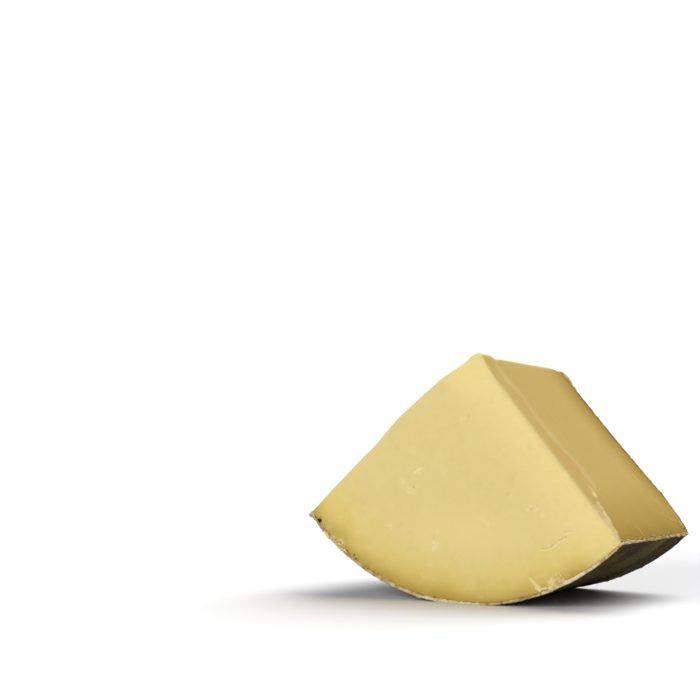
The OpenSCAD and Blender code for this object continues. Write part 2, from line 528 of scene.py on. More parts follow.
def make_paste(material):
    """The cheese itself: six patches over the wedge (front, both side cuts, ridge, rind side, end side)
    welded into one closed body, split finely where it shows, its cut edges eased, then raised and cut by
    the marks above."""
    across, out, deep = np.linspace(0, 1, 61), np.linspace(0, 1, 41), np.linspace(0, 1, 33)
    side = side_grid(out, deep, SKIN)
    front = fan(across[None, :], out[:, None] * (FRONT_R - SKIN), 0.0)
    ridge = fan(across[None, :], 0.0, side[0, :, 1][:, None])
    rind = fan(across[None, :], side[-1, :, 0][:, None], side[-1, :, 1][:, None])
    end = fan(across[None, :], side[:, -1, 0][:, None], side[:, -1, 1][:, None])
    cuts = [fan(s, side[..., 0], side[..., 1]) for s in (0.0, 1.0)]
    wide, long, rows = len(across), len(deep), len(out)
    patches = [(front, grid_faces(rows, wide)), (ridge, grid_faces(long, wide)),
        (rind, grid_faces(long, wide))]
    patches += [(end, grid_faces(rows, wide))] + [(c, grid_faces(rows, long)) for c in cuts]
    points, quads = weld(patches)
    mesh = new_mesh("cheese_paste", points, quads)
    split_long_edges(mesh, 7)
    p, share, facing = eased(read_points(mesh))
    heights = [front_height(p), right_height(p), left_height(p), (0, 0, 0, 0)]
    height, pale, darkening, orange = (sum(share[:, k] * h[i] for k, h in enumerate(heights)) for i in range(4))
    r = np.hypot(p[:, 0], p[:, 2])
    rind_gap = FRONT_R - RIND_TAPER * p[:, 1] / RIM_Y - r
    rind_gap *= 1 + 0.13 * smooth(-0.15, 0.35, p[:, 0] / r.clip(1e-4)) * share[:, 0]
    end_gap = AXIS_Y + DISH_DEPTH * (r / CROWN_R) ** 2 - p[:, 1]
    fade = smooth(0.2 * MM, 1.5 * MM, np.minimum(rind_gap, end_gap))
    on_cut_face = share.sum(1) > 0.5
    p = p + facing * (height * fade * MM * on_cut_face)[:, None]
    p[:, 2] += ridge_lift(p) * MM * on_cut_face
    p += left_swell(p)
    write_points(mesh, to_row(p))
    # painted light on the rounded front right edge
    pale = pale + 0.3 * share[:, 0] * share[:, 1]
    keep_values(mesh, "warm", np.clip(orange, 0, 1))
    keep_values(mesh, "pale", np.clip(pale, 0, 1))
    keep_values(mesh, "darkening", np.clip(darkening, 0, 1))
    from_right = -(p[:, 0] * math.cos(HALF_CUT) + p[:, 2] * math.sin(HALF_CUT))
    # painted light: a paler colour towards the right cut, near the tip and low in the middle of the front
    painted_light = 0.9 * smooth(44 * MM, 1 * MM, from_right) + 0.4 * smooth(36 * MM, 5 * MM, r)
    painted_light += 0.5 * np.exp(-((p[:, 0] / MM / 50) ** 2) - ((p[:, 2] / MM + 105) / 20) ** 2)
    keep_values(mesh, "painted_light", painted_light)
    on_side = share[:, 1] * (share.sum(1) > 0.5)
    # on the right cut the gap counts shorter, so the gold and the side cuts' painted shade reach further in
    # from the rind
    keep_values(mesh, "rind_gap", np.minimum(rind_gap * (1 - 0.3 * on_side), end_gap * 1.25) / MM)
    # how much of the side cuts' painted shade a point takes: all of it on the right cut, under half on the
    # left
    left_side = share[:, 2] * (share.sum(1) > 0.5) * smooth(1 * MM, 9 * MM, p[:, 1])
    keep_values(mesh, "side_cut", np.clip(on_side + 0.45 * left_side, 0, 1))
    piece = add_piece("cheese_paste", mesh, material)
    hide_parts("wedge")
    return piece


# ---------------------------------------------------------------- rind


def make_rind(material):
    """Cloth-bound rind: the wheel's outside as a grid (across the wedge by along the profile), made lumpy
    by slow dents, crusty mould and a few long cloth folds, backed by a copy SKIN further in and closed
    round its rim."""
    cols, rows = 190, 176
    q = even_steps(0, 3, rows)
    s = np.linspace(0, 1, cols)
    rz = outer_profile(q)
    tangent = np.gradient(rz, axis=0)
    tangent = unit(tangent)
    outside = fan(s[None, :], rz[:, 0][:, None], rz[:, 1][:, None])
    radial = outside * (1, 0, 1)
    radial /= np.maximum(np.linalg.norm(radial, axis=1), 1e-4)[:, None]
    n_r, n_y = np.repeat(tangent[:, 1], cols)[:, None], np.repeat(-tangent[:, 0], cols)[:, None]
    normal = radial * n_r + np.array([0, 1, 0]) * n_y
    run = np.concatenate([[0], np.cumsum(np.hypot(*np.diff(rz, axis=0).T))])
    u = np.tile(s, rows) * 2 * HALF_CUT * FRONT_R
    v = np.repeat(run, cols)
    mm = outside / MM
    fold = np.stack([(u + 0.55 * v) / MM, (v - 0.3 * u) / MM / 9, 0 * u], -1)
    crease = np.maximum(0, 1 - np.abs(lumps(fold, 13, 71)) * 9) * smooth(-0.1, 0.5, lumps(mm, 40, 72))
    height = -0.25 + 0.45 * lumps(mm, 28, 73) + 0.22 * rough(mm, 6, 74)
    height = height + 0.10 * lumps(mm, 1.8, 77) + 0.45 * crease
    lowest = to_row(outside)[:, 2]
    height = np.where(lowest < 2.5 * MM, height * smooth(0.2 * MM, 2.5 * MM, lowest) - 0.1, height)
    outer = outside + normal * height[:, None] * MM
    inner = outside - normal * SKIN
    for body in (outer, inner):
        d, n = distances(body)
        for k in range(3):
            body -= n[:, k] * np.maximum(d[:, k] + RIM_BACK, 0)[:, None]
    quads = grid_faces(rows, cols)
    count = rows * cols
    ring = np.concatenate([
        np.arange(cols), np.arange(1, rows) * cols + cols - 1,
        (rows - 1) * cols + np.arange(cols - 2, -1, -1), np.arange(rows - 2, 0, -1) * cols,
    ])
    after = np.roll(ring, -1)
    rim = np.stack([ring, after, after + count, ring + count], -1)
    points = to_row(np.concatenate([outer, inner]))
    points[:, 2] = np.maximum(points[:, 2], 0)
    mesh = new_mesh("rind", points, np.concatenate([quads, quads[:, ::-1] + count, rim]))
    around = mesh.uv_layers.new(name="cloth")
    corner = np.empty(len(mesh.loops), np.int32)
    mesh.loops.foreach_get("vertex_index", corner)
    uv = np.tile(np.stack([u, v], -1), (2, 1))
    around.data.foreach_set("uv", uv[corner].astype(np.float32).ravel())
    # where the rind turns onto the end face; the side before it takes painted shade in the material
    keep_values(mesh, "end_face", np.tile(np.repeat(smooth(0.9, 1.6, q), cols), 2))
    return add_piece("rind", mesh, material)


def cut_rim(step):
    """The line where the rind's outside meets the cuts, as one closed loop of points this far apart, with the
    direction in from the rind along the cut face and the cut face's outward direction."""
    s_front = np.linspace(0, 1, int(2 * HALF_CUT * FRONT_R / step))
    q = even_steps(0, 3, int(PROFILE_RUN / step))
    rz = outer_profile(q)
    tangent = np.gradient(rz, axis=0)
    tangent = unit(tangent)
    angle = (2 * s_front - 1) * HALF_CUT
    nil, one = 0 * s_front, 1 + 0 * s_front
    spoke = np.stack([np.sin(angle), nil, -np.cos(angle)], -1)
    parts = [(fan(s_front, FRONT_R, 0.0), -spoke, np.stack([nil, -one, nil], -1))]
    for s, turn in ((1.0, 1), (0.0, -1)):
        line = fan(s, rz[:, 0], rz[:, 1])
        spoke = line * (1, 0, 1)
        spoke /= np.maximum(np.linalg.norm(spoke, axis=1), 1e-5)[:, None]
        start = fan(s, np.array([0.1]), 0.0)
        spoke = np.where((np.hypot(line[:, 0], line[:, 2]) < 8 * MM)[:, None],
            start / np.linalg.norm(start), spoke)
        inward = -(spoke * tangent[:, 1:] - np.array([0, 1, 0]) * tangent[:, :1])
        side = np.array([math.cos(HALF_CUT) * turn, 0, math.sin(HALF_CUT)])
        parts.append((line, inward, np.tile(side, (len(line), 1))))
    front, right, left = parts
    right = tuple(a[1:] for a in right)
    left = tuple(a[:0:-1] for a in left)
    loop = [np.concatenate([f, r, e]) for f, r, e in zip(front, right, left)]
    for k in (1, 2):
        for _ in range(6):
            loop[k] = (np.roll(loop[k], 1, 0) + loop[k] * 2 + np.roll(loop[k], -1, 0)) / 4
        loop[k] = unit(loop[k])
    return loop


# The cloth's cut edge by its place round the front arc, in degrees from straight down: width in mm, how pale
CLOTH_BY_ANGLE = np.array([
    (-46, 1.6, 0.45), (-42, 1.3, 0.30), (-38, 1.3, 0.35), (-33, 1.5, 0.45), (-24, 1.7, 0.45),
    (-12, 1.9, 0.60), (-3, 1.9, 0.85), (5, 1.8, 1.00), (9, 1.3, 0.35), (20, 1.3, 0.35), (24, 1.5, 0.80),
    (27, 1.8, 0.75), (30, 2.2, 0.95), (33, 1.9, 1.00), (37, 1.25, 0.75), (40, 1.15, 0.50), (46, 1.3, 0.50),
])


def make_cloth_edge(material):
    """The cut edge of the cloth and lard: a flat ragged band carried round the rim of the cuts. Its section
    is an ellipse lying in the cut face; its width, height and place follow the table above and wander,
    small teeth stand out along it, and a loose flap stands off at the ridge's back end and at the left
    corner."""
    line, inward, face = cut_rim(0.5 * MM)
    mm = line / MM
    r = np.hypot(mm[:, 0], mm[:, 2])
    on_front = smooth(0.6, 0.9, -face[:, 1])
    round_arc = np.degrees(np.arctan2(mm[:, 0], -mm[:, 2]))
    places, widths, pales = CLOTH_BY_ANGLE.T
    on_rind = smooth(SHOULDER_W / MM * 0.4 + 96, 128, r) * smooth(108, 98, mm[:, 1])
    back = bell((r - 5) / 5.5) * smooth(90, 100, mm[:, 1])
    corner = bell(np.linalg.norm(mm - mm[0], axis=1) / 2.6)
    lip = bell((round_arc - 31.5) / 2.8) * on_front
    width = np.interp(round_arc, places, widths) * on_front + (1.3 + 0.2 * on_rind) * (1 - on_front)
    foot = 0.12 + (0.18 + 0.2 * smooth(30, 8, mm[:, 1])) * on_rind
    pale = np.interp(round_arc, places, pales) * on_front + foot * (1 - on_front) + 0.22 * back
    calm = 1 - 0.45 * lip
    width *= 1 + (0.22 * lumps(mm, 7, 82) + 0.30 * lumps(mm, 1.5, 83)) * calm
    width = np.clip(width, 1.15, 3.4) + 4.0 * back + 1.8 * corner
    proud = 0.12 + 0.12 * lumps(mm, 4, 84) + 0.24 * np.maximum(0, lumps(mm, 1.1, 85)) * calm + 0.30 * lip
    wave = 0.20 * lumps(mm, 1.4, 86) + 0.14 * lumps(mm, 5, 87)
    ragged = wave * calm - 0.25 * lip - 4.2 * back - 1.7 * corner
    turn = np.linspace(0, 2 * math.pi, 12, endpoint=False)
    c, h = np.cos(turn)[None, :, None], np.sin(turn)[None, :, None]
    c = np.sign(c) * np.abs(c) ** 0.8
    middle = (0.5 * width - 0.20 + ragged)[:, None, None]
    thin = 1 - 0.5 * np.clip(back + corner, 0, 1)
    half_w, half_h = (0.5 * width + 0.15)[:, None, None], ((0.30 + proud) * thin)[:, None, None]
    along_cut, off_cut = inward[:, None] * (middle + half_w * c), face[:, None] * (half_h * h - 0.20)
    points = line[:, None] + (along_cut + off_cut) * MM
    points = points.reshape(-1, 3)
    still = np.repeat(calm, len(turn))
    tooth = (0.22 * lumps(points / MM, 1.1, 88) + 0.16 * lumps(points / MM, 0.6, 89)) * still
    tooth = tooth + np.repeat(np.clip(back + corner, 0, 1), len(turn)) * 0.9 * lumps(points / MM, 1.7, 90)
    centre = np.repeat((line[:, None] + inward[:, None] * middle * MM)[:, 0], len(turn), 0)
    away = points - centre
    points = points + away / np.maximum(np.linalg.norm(away, axis=1), 1e-6)[:, None] * tooth[:, None] * MM
    points = to_row(points)
    points[:, 2] = np.maximum(points[:, 2], 0)
    mesh = new_mesh("cloth_edge", points, grid_faces(len(line), len(turn), True, True))
    keep_values(mesh, "pale", np.repeat(np.clip(pale, 0, 1), len(turn)))
    return add_piece("cloth_edge", mesh, material)


# ---------------------------------------------------------------- flakes, crumbs and threads


def on_cut(cut, a, b):
    """Points on the front cut from (x, z), or on the right cut from (radius, depth), all in mm, with the
    cut's outward direction there and two directions along it."""
    a, b = np.broadcast_arrays(np.asarray(a, float), np.asarray(b, float))
    spoke = np.array([math.sin(HALF_CUT), 0, -math.cos(HALF_CUT)])
    if cut == "front":
        flat, first, second = np.stack([a, 0 * a, b], -1) * MM, np.array([1.0, 0, 0]), np.array([0, 0, 1.0])
    else:
        flat = (a[:, None] * spoke + b[:, None] * np.array([0, 1.0, 0])) * MM
        first, second = spoke, np.array([0, 1.0, 0])
    point, _, out = eased(flat)
    across = second - out * (out @ second)[:, None]
    across = unit(across)
    return point, out, np.cross(across, out) * np.sign((np.cross(across, out) @ first))[:, None], across


def pebbles(centre, axes, sizes, curl, roughness, seed, rows=7, cols=10):
    """Many small closed lumps in one mesh: each a globe of rows x cols points scaled by its three sizes
    along its three axes, dented by random lumps, its ends curled up by curl times the squared length."""
    v, u = np.meshgrid(np.linspace(0, math.pi, rows), np.linspace(0, 2 * math.pi, cols, endpoint=False),
        indexing="ij")
    ball = np.stack([np.cos(v), np.sin(v) * np.cos(u), np.sin(v) * np.sin(u)], -1).reshape(-1, 3)
    count = len(centre)
    every = np.tile(ball, (count, 1, 1))
    seeds = np.random.default_rng(seed).uniform(0, 30, (count, 1, 3))
    dent = lumps((every * 1.3 + seeds).reshape(-1, 3), 1.0, seed + 1)
    dent = dent + 0.6 * lumps((every * 2.9 + seeds).reshape(-1, 3), 1.0, seed + 2)
    dent = 1 + roughness * dent.reshape(count, -1, 1)
    local = every * dent * sizes[:, None]
    local[..., 2] += curl[:, None] * (every[..., 0] ** 2)
    points = centre[:, None] + np.einsum("nij,nki->nkj", axes, local)
    quads = grid_faces(rows, cols, wrap_cols=True)
    faces = (quads[None] + (np.arange(count) * len(ball))[:, None, None]).reshape(-1, 4)
    points, quads = weld([(points.reshape(-1, 3), faces)], near=1e-7)
    halves = np.concatenate([quads[:, [0, 1, 2]], quads[:, [0, 2, 3]]])
    return points, halves[(halves != np.roll(halves, 1, axis=1)).all(1)]


# Curled shavings and smears left by the wire: cut, where in mm, turn in degrees, length, width, thickness,
# curl
FLAKES = [
    ("right", 104.0, 14.0, -14, 6.0, 1.6, 0.4, 0.2), ("right", 120.5, 7.0, -14, 6.0, 1.3, 0.4, 0.2),
    ("right", 87.2, 90.6, 15, 8.5, 1.1, 0.5, 0.3),
    ("right", 121.6, 106.0, 0, 9.0, 1.6, 0.7, 0.7), ("right", 114.0, 105.0, 25, 4.0, 1.1, 0.5, 0.5),
    ("right", 134.5, 37.8, 4, 4.0, 0.9, 0.4, 0.3), ("front", 49.8, -127.6, -38, 9.5, 2.5, 0.40, 0.0),
    ("front", 53.4, -131.2, -20, 5.0, 2.4, 0.45, 0.1), ("front", 61.0, -129.2, 30, 4.5, 1.6, 0.5, 0.2),
    ("front", -91.6, -112.4, -46, 6.5, 1.6, 0.7, 0.5), ("front", -82.8, -117.2, -12, 4.2, 1.3, 0.6, 0.5),
    ("front", -77.9, -120.6, -50, 3.4, 1.3, 0.6, 0.4), ("front", 65.8, -123.2, 48, 4.2, 1.5, 0.7, 0.6),
    ("front", 51.6, -129.0, -16, 6.5, 1.6, 0.4, 0.0), ("front", 57.4, -130.4, 6, 5.0, 1.4, 0.4, 0.1),
]


FLAKE_CURL = 0.6  # share of the listed curl that is left once a shaving has settled


def make_flakes(material):
    """Shavings of paste: flattened curled lumps laid on the cuts and turned about the cut's outward
    direction."""
    rows = [on_cut(cut, [a], [b]) + (math.radians(turn),) for cut, a, b, turn, *_ in FLAKES]
    point, out, first, second = (np.concatenate([row[k] for row in rows]) for k in range(4))
    turn = np.array([row[4] for row in rows])[:, None]
    sizes = np.array([[length / 2, width / 2, thick / 2] for *_, length, width, thick, _ in FLAKES]) * MM
    curl = np.array([flake[-1] for flake in FLAKES]) * MM * FLAKE_CURL
    axes = np.stack([first * np.cos(turn) + second * np.sin(turn),
        second * np.cos(turn) - first * np.sin(turn), out], 1)
    points, faces = pebbles(point + out * 0.05 * MM, axes, sizes, curl, 0.22, 401, 15, 14)
    mesh = new_mesh("cheese_flakes", to_row(points), faces)
    # how much of the side cuts' painted shade a shaving takes, by its depth behind the front face
    depth = smooth(0.5, 6.0, points[:, 1] / MM)
    keep_values(mesh, "side_cut", depth[: len(mesh.vertices)])
    return add_piece("cheese_flakes", mesh, material)


# Beds of crumbs: cut, middle in mm, how far they reach each way, how many, least and greatest size, how brown
CRUMB_BEDS = [
    ("front", (67.2, -123.8), (2.6, 1.6), 54, (0.5, 1.5), 0.22),
    ("front", (60.4, -128.6), (2.6, 1.0), 18, (0.4, 1.1), 0.20),
    ("front", (-83.4, -116.4), (3.0, 1.5), 30, (0.4, 1.2), 0.35),
    ("front", (-92.4, -111.6), (2.0, 1.6), 14, (0.4, 1.0), 0.45),
    ("front", (-101.2, -103.0), (1.0, 1.4), 9, (0.4, 1.0), 0.55),
    ("right", (105.4, 14.2), (3.6, 1.4), 18, (0.4, 1.0), 0.05),
    ("right", (119.0, 8.0), (4.0, 1.2), 9, (0.4, 0.8), 0.05),
    ("right", (134.0, 3.4), (3.0, 1.4), 12, (0.4, 1.1), 0.10),
    ("front", (99.2, -100.5), (1.2, 2.4), 8, (0.4, 0.9), 0.10),
    ("right", (124.0, 104.6), (6.0, 0.8), 12, (0.4, 1.0), 0.30),
]


FRONT_RIM_CRUMBS, RIGHT_FOOT_CRUMBS = 260, 210
THREADS = 150
CRUMB_REACH = 143.6  # mm from the wheel's axis: front crumbs lie within this, so none hangs off the rim


def make_crumbs(material):
    """Crumbs: small dented lumps, in the beds above and in a thick ragged line along the right cut's foot,
    each sunk a little and turned at random."""
    rng = np.random.default_rng(505)
    parts, brown, big = [], [], []
    for cut, middle, reach, count, (least, most), tint in CRUMB_BEDS:
        at = np.array(middle) + rng.normal(0, 0.5, (count, 2)) * reach
        if cut == "front":
            at *= np.minimum(1, CRUMB_REACH / np.hypot(*at.T))[:, None]
        parts.append(on_cut(cut, at[:, 0], at[:, 1])[:2])
        big.append(least + (most - least) * rng.uniform(0, 1, count) ** 2.2)
        brown.append(np.full(count, tint))
    count = FRONT_RIM_CRUMBS
    turn = np.radians(rng.uniform(-42, 4, count))
    spread = 0.7 + 0.6 * lumps(np.stack([turn * 145, 0 * turn, 0 * turn], -1), 9, 508)
    up = 1.2 + rng.exponential(0.40, count) * spread
    parts.append(on_cut("front", (FRONT_R / MM - up) * np.sin(turn), (up - FRONT_R / MM) * np.cos(turn))[:2])
    big.append(0.25 + 0.75 * rng.uniform(0, 1, count) ** 2.6)
    brown.append(rng.uniform(0.0, 0.65, count))
    count = RIGHT_FOOT_CRUMBS
    deep = rng.uniform(2.0, 103.0, count)
    up = rng.exponential(0.9, count) * (0.6 + 0.6 * lumps(np.stack([deep, 0 * deep, 0 * deep], -1), 7, 506))
    parts.append(on_cut("right", (FRONT_R - RIND_TAPER * deep * MM / RIM_Y) / MM - 0.9 - up, deep)[:2])
    big.append(0.35 + 0.9 * rng.uniform(0, 1, count) ** 2.4)
    brown.append(rng.uniform(0.0, 1.0, count))
    point, out = (np.concatenate([part[k] for part in parts]) for k in range(2))
    big, brown = np.concatenate(big), np.concatenate(brown)
    brown = np.clip(brown + rng.normal(0, 0.22, len(big)), 0, 1)
    turned = np.linalg.qr(rng.normal(0, 1, (len(big), 3, 3)))[0]
    sizes = big[:, None] * np.stack([rng.uniform(0.4, 0.62, len(big)) for _ in range(3)], -1) * MM
    rows, cols = 5, 8
    raised = point + out * big[:, None] * 0.08 * MM
    points, faces = pebbles(raised, turned, sizes, 0 * big, 0.2, 507, rows, cols)
    mesh = new_mesh("crumbs", to_row(points), faces)
    nearest = np.abs(points[:, None, :] - point[None]).sum(-1).argmin(1)
    keep_values(mesh, "brown", brown[nearest])
    return add_piece("crumbs", mesh, material)


def make_threads(material):
    """Loose cheesecloth threads: a six-sided tube carried along a bent path from the rim of the cuts,
    thinner at its tip; most lie along the rim, some stand off it."""
    rng = np.random.default_rng(611)
    line, inward, face = cut_rim(0.5 * MM)
    mm = line / MM
    arc = np.degrees(np.arctan2(mm[:, 0], -mm[:, 2]))
    on_front = face[:, 1] < -0.8
    r = np.hypot(mm[:, 0], mm[:, 2])
    weight = np.where(on_front, 0.25 + 2.6 * bell((arc - 5) / 4) + 0.7 * bell((arc - 29) / 3), 0.0)
    weight += np.where(on_front & (arc < -8), 0.35, 0) + np.where(on_front & (arc < -40), 0.8, 0)
    right = face[:, 0] > 0.3
    weight += np.where(right & (r > 120), 0.8, 0) + 5.0 * right * bell((r - 6) / 7) * (mm[:, 1] > 92)
    weight += 0.2 * (mm[:, 1] > 3)
    count = THREADS
    pick = rng.choice(len(line), count, p=weight / weight.sum())
    along = np.roll(line, -3, 0)[pick] - np.roll(line, 3, 0)[pick]
    along = unit(along)
    along *= rng.choice([-1, 1], count)[:, None]
    out = -inward[pick] * rng.uniform(-0.25, 0.6, count)[:, None]
    out = out + face[pick] * rng.uniform(0.05, 0.45, count)[:, None]
    start = line[pick] + (inward[pick] * rng.uniform(-0.1, 0.9, count)[:, None] + face[pick] * 0.15) * MM
    length = (1.0 + 3.4 * rng.uniform(0, 1, count) ** 2)[:, None, None] * MM
    bend = rng.normal(0, 0.35, (count, 3))
    t = np.linspace(0, 1, 8)[None, :, None]
    drift = along[:, None] * t + out[:, None] * (t - 0.35 * t**2) + bend[:, None] * t**2 * 0.6
    path = start[:, None] + length * drift
    ahead = np.gradient(path, axis=1)
    ahead = unit(ahead)
    first = np.cross(ahead, np.array([0.31, 0.22, 0.93]))
    first = unit(first)
    second = np.cross(ahead, first)
    turn = np.linspace(0, 2 * math.pi, 6, endpoint=False)
    rounding = np.sqrt(np.clip(1.0001 - (2 * t - 1) ** 8, 1e-4, 1))
    thick = (0.13 + 0.06 * rng.uniform(0, 1, (count, 1, 1))) * MM * rounding * (1 - 0.35 * t)
    ring = first[:, :, None] * np.cos(turn)[:, None] + second[:, :, None] * np.sin(turn)[:, None]
    tube = path[:, :, None] + ring * thick[..., None]
    steps, sides = t.size, len(turn)
    quads = grid_faces(steps, sides, wrap_cols=True)
    faces = [tuple(q + n * steps * sides) for n in range(count) for q in quads]
    faces += [tuple(np.arange(sides)[::-1] + n * steps * sides) for n in range(count)]
    faces += [tuple(np.arange(sides) + (n + 1) * steps * sides - sides) for n in range(count)]
    points = to_row(tube.reshape(-1, 3))
    points[:, 2] = np.maximum(points[:, 2], 0.0)
    mesh = bpy.data.meshes.new("cloth_threads")
    mesh.from_pydata(points.tolist(), [], [tuple(int(k) for k in face) for face in faces])
    return add_piece("cloth_threads", outward(mesh), material)


# ---------------------------------------------------------------- materials


def linear(hex_colour):
    """sRGB hex to linear RGBA."""
    c = np.array([int(hex_colour[i : i + 2], 16) for i in (1, 3, 5)]) / 255
    return (*np.where(c <= 0.04045, c / 12.92, ((c + 0.055) / 1.055) ** 2.4), 1.0)


def node(tree, kind, inputs=None, out=0, stops=None, **properties):
    """Adds a shader node and gives back one of its outputs. Inputs go by name or number and are another
    node's output, a hex colour or a value; properties are the node's own settings; stops fill a colour
    ramp."""
    made = tree.nodes.new(kind)
    for name, value in properties.items():
        setattr(made, name, value)
    for key, value in (inputs or {}).items():
        if isinstance(value, bpy.types.NodeSocket):
            tree.links.new(value, made.inputs[key])
        else:
            made.inputs[key].default_value = linear(value) if isinstance(value, str) else value
    for place, shade in (stops or [])[2:]:
        made.color_ramp.elements.new(place)
    for element, (place, shade) in zip(made.color_ramp.elements if stops else [], stops or []):
        element.position, element.color = place, linear(shade)
    return made.outputs[out]


def lay_over(tree, colour, layers):
    """Lays colours over colour in turn: each goes from nothing to its most as its source goes from low to
    high."""
    for source, low, high, most, shade in layers:
        reach = {0: source, 1: low, 2: high, 4: most}
        amount = node(tree, "ShaderNodeMapRange", reach, interpolation_type="SMOOTHSTEP")
        colour = node(tree, "ShaderNodeMix", {0: amount, 6: colour, 7: shade}, 2, data_type="RGBA")
    return colour


def bumps(tree, shader, heights):
    """Carries (height, strength, distance in mm) bumps one over the other into the shader's normal."""
    normal = None
    for height, strength, distance in heights:
        inputs = {"Height": height, "Strength": strength, "Distance": distance * MM}
        normal = node(tree, "ShaderNodeBump", inputs if normal is None else {**inputs, "Normal": normal})
    tree.links.new(normal, shader.inputs["Normal"])


def new_material(name, **settings):
    """A Principled material with these socket values; returns the material, its tree and its shader."""
    material = bpy.data.materials.new(name)
    material.use_nodes = True
    shader = material.node_tree.nodes["Principled BSDF"]
    for key, value in settings.items():
        shader.inputs[key.replace("_", " ")].default_value = value
    return material, material.node_tree, shader


# What each point of the paste knows: how pale (partly painted highlight), how darkened (partly painted
# shade), how orange, how much painted light, how far inside the rind, and how much side-cut painted shade
PASTE_VALUES = ("pale", "darkening", "warm", "painted_light", "rind_gap", "side_cut")
# Colour of the paste by its distance inside the rind, in mm: gold and firm at the rind, pale ivory within
GOLD_REACH = 32
GOLD_BY_GAP = [
    (0.5, "#AC8C42"), (2.5, "#C2A24A"), (5, "#CDB154"), (8, "#DABF67"), (12, "#E5CB73"), (16, "#E9D07C"),
    (22, "#EBD482"), (32, "#EBD690"),
]


def paste_material():
    """Mature cheddar, wire cut: a dense fat-rich curd, so light goes a few millimetres in and comes out
    warm, and the skin of the cut is matt with a faint waxy shine; it deepens to gold towards the rind,
    where it dries. Painted light and shade lie in its colour as well: paler towards the right cut and low
    on the front, painted highlights on ridges and lips, and darker side cuts, cracks and pits."""
    # almost no shine, because low light from behind would turn the right cut white
    material, tree, shader = new_material(
        "cheddar_paste_wire_cut", Roughness=0.55, IOR=1.45, Specular_IOR_Level=0.03, Subsurface_Weight=0.12,
        Subsurface_Radius=(1.0, 0.75, 0.45), Subsurface_Scale=0.003,
    )
    where = node(tree, "ShaderNodeTexCoord", out="Object")
    value = {k: node(tree, "ShaderNodeAttribute", out="Fac", attribute_name=k) for k in PASTE_VALUES}
    clouds = node(tree, "ShaderNodeTexNoise", {"Vector": where, "Scale": 1 / (22 * MM), "Detail": 3.0})
    curd = node(tree, "ShaderNodeTexNoise", {"Vector": where, "Scale": 1 / (5.5 * MM), "Detail": 3.0,
        "Roughness": 0.6})
    grain = node(tree, "ShaderNodeTexNoise", {"Vector": where, "Scale": 1 / (0.9 * MM)})
    wander = node(tree, "ShaderNodeMapRange", {0: clouds, 1: 0.3, 2: 0.7, 3: -1.5, 4: 1.5})
    gap = node(tree, "ShaderNodeMath", {0: value["rind_gap"], 1: wander}, operation="ADD")
    reach = node(tree, "ShaderNodeMath", {0: gap, 1: GOLD_REACH}, operation="DIVIDE")
    colour = node(tree, "ShaderNodeValToRGB", {0: reach},
        stops=[(far / GOLD_REACH, tone) for far, tone in GOLD_BY_GAP])
    colour = lay_over(tree, colour, [
        # the second entry is painted light: paler towards the right cut, near the tip and low on the front
        (clouds, 0.30, 0.70, 0.10, "#F6E6AC"), (value["painted_light"], 0, 1, 0.85, "#F9E39A"),
        (curd, 0.52, 0.72, 0.18, "#F1E0A4"), (curd, 0.48, 0.28, 0.13, "#D9C077"),
    ])
    # painted shade for the side cuts: a darker colour to multiply in, darker still near the rind
    shade = lay_over(tree, "#D3C6A9", [(gap, 38, 0, 1, "#B7A66A"), (gap, 9, 0, 0.5, "#8F804E")])
    side = node(tree, "ShaderNodeMix", {0: 1.0, 6: colour, 7: shade}, 2, data_type="RGBA",
        blend_type="MULTIPLY")
    colour = lay_over(tree, colour, [
        # first entry: the side cuts' painted shade; second: pale crumbs and streaks, with painted highlights
        # on crack lips, the right cut's ridge and the front right edge
        (value["side_cut"], 0.45, 1, 1, side), (value["pale"], 0.05, 1, 0.75, "#F7E6AA"),
        (value["warm"], 0, 1, 0.6, "#CC9B4A"),
        # brown darkening: painted shade in the front face's cracks and pits, and a faint band in the right
        # cut's strip
        (value["darkening"], 0.0, 1, 0.9, "#6E4E22"), (grain, 0.62, 0.8, 0.18, "#C9AE62"),
    ])
    tree.links.new(colour, shader.inputs["Base Color"])
    waxy = node(tree, "ShaderNodeMapRange", {0: curd, 1: 0.3, 2: 0.7, 3: 0.50, 4: 0.64})
    tree.links.new(waxy, shader.inputs["Roughness"])
    bumps(tree, shader, [(grain, 0.35, 0.25), (curd, 0.35, 0.6)])
    return material


def flake_material():
    """A thin shaving of the same paste: air behind it and rough torn faces, so it looks paler and drier."""
    material, tree, shader = new_material("cheddar_shaving", Roughness=0.6, IOR=1.45, Specular_IOR_Level=0.05)
    where = node(tree, "ShaderNodeTexCoord", out="Object")
    curd = node(tree, "ShaderNodeTexNoise", {"Vector": where, "Scale": 1 / (1.6 * MM), "Detail": 3.0})
    colour = lay_over(tree, "#F2DC96", [(curd, 0.45, 0.7, 0.7, "#F5E4AC"),
        (curd, 0.42, 0.25, 0.6, "#CBB066")])
    # painted shade: shavings on the side cuts are darkened like the paste round them
    side = node(tree, "ShaderNodeMix", {0: 1.0, 6: colour, 7: "#E3D2A4"}, 2, data_type="RGBA",
        blend_type="MULTIPLY")
    on_side = node(tree, "ShaderNodeAttribute", out="Fac", attribute_name="side_cut")
    colour = lay_over(tree, colour, [(on_side, 0, 1, 1, side)])
    tree.links.new(colour, shader.inputs["Base Color"])
    bumps(tree, shader, [(curd, 0.4, 0.3)])
    return material


